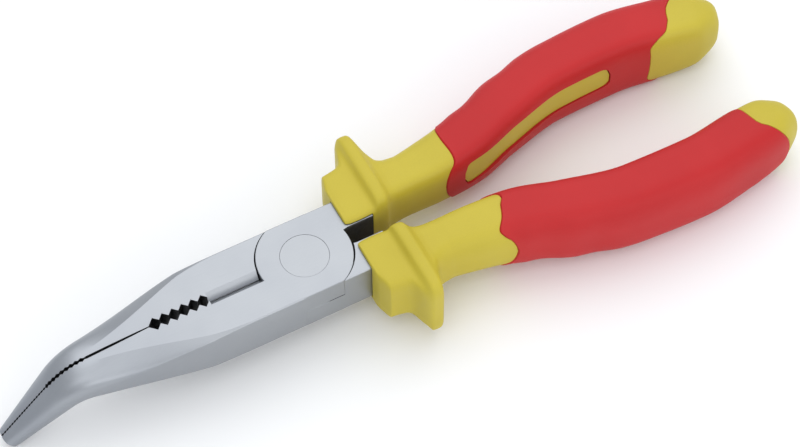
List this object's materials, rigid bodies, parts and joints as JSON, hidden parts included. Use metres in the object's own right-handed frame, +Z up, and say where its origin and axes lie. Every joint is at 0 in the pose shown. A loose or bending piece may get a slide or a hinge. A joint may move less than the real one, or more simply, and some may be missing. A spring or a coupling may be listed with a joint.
{
  "type": "needle nose pliers",
  "caption": "Insulated bent long-nose pliers with half-round jaws, side cutter, pipe grip, riveted lap joint and bowed red and yellow handles with finger guards.",
  "frame": {"origin": "bottom centre of the closed tool as it lies on its nose tip and the ends of both handles", "axes": "+X from the nose to the handles, +Z up, -Y towards the left jaw's side; the pivot axis leans 2.12 degrees from +Z towards +X"},
  "size_m": [0.1912, 0.0536, 0.0223],
  "materials": {
    "forged_steel": "satin nickel-chrome plated forging, fine lengthwise grain, darker towards the tips",
    "rivet_steel": "ground flush with the joint and satin plated",
    "yellow_insulation": "semi-matte moulded insulating plastic",
    "red_grip": "matte soft moulded grip over the yellow layer"
  },
  "bodies": {
    "left_jaw_half": {"left_jaw_forging": "forged_steel", "pivot_rivet": "rivet_steel", "right_handle_sleeve": "yellow_insulation", "right_handle_grip": "red_grip"},
    "right_jaw_half": {"right_jaw_forging": "forged_steel", "left_handle_sleeve": "yellow_insulation", "left_handle_grip": "red_grip"}
  },
  "joints": [
    {"name": "jaw_pivot", "type": "hinge", "parent": "left_jaw_half", "child": "right_jaw_half", "pos_m": [-0.02064, 0, 0.01286], "axis": [-0.0369, 0, -0.9993], "range_deg": [0, 42]}
  ]
}
